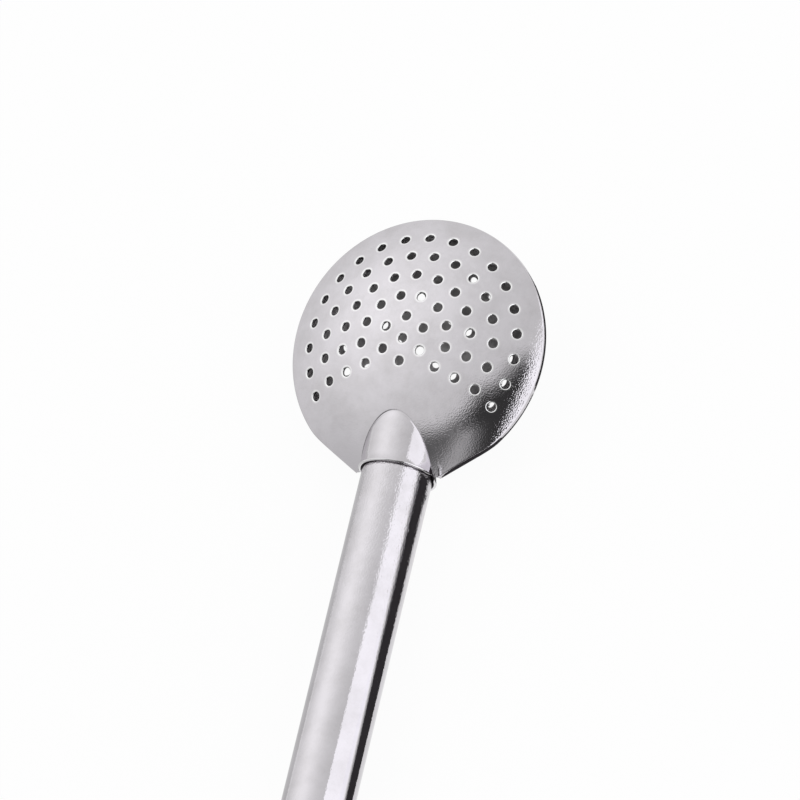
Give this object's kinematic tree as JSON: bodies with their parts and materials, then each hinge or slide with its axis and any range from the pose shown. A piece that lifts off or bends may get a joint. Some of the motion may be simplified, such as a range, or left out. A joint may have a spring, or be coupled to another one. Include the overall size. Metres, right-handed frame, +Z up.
{
  "type": "bombilla",
  "caption": "Steel drinking straw for mate: a round, domed, perforated two-shell strainer pushed onto a straight tube that ends in a flattened mouthpiece.",
  "frame": {"origin": "centre of the part's box, on the surface it lies on", "axes": "+Y along the stem from the mouthpiece to the strainer, +Z up, the way the strainer's front face looks"},
  "size_m": [0.0304, 0.1696, 0.012],
  "materials": {
    "strainer_steel": "stamped and polished, with a fine grain",
    "stem_steel": "polished"
  },
  "bodies": {
    "stem": {"stem_tube": "stem_steel", "mouthpiece": "stem_steel"},
    "strainer": {"front_shell": "strainer_steel", "back_shell": "strainer_steel"}
  },
  "joints": [
    {"name": "strainer_pull", "type": "slide", "parent": "stem", "child": "strainer", "axis": [0, 1, 0], "range_m": [0, 0.025]}
  ]
}
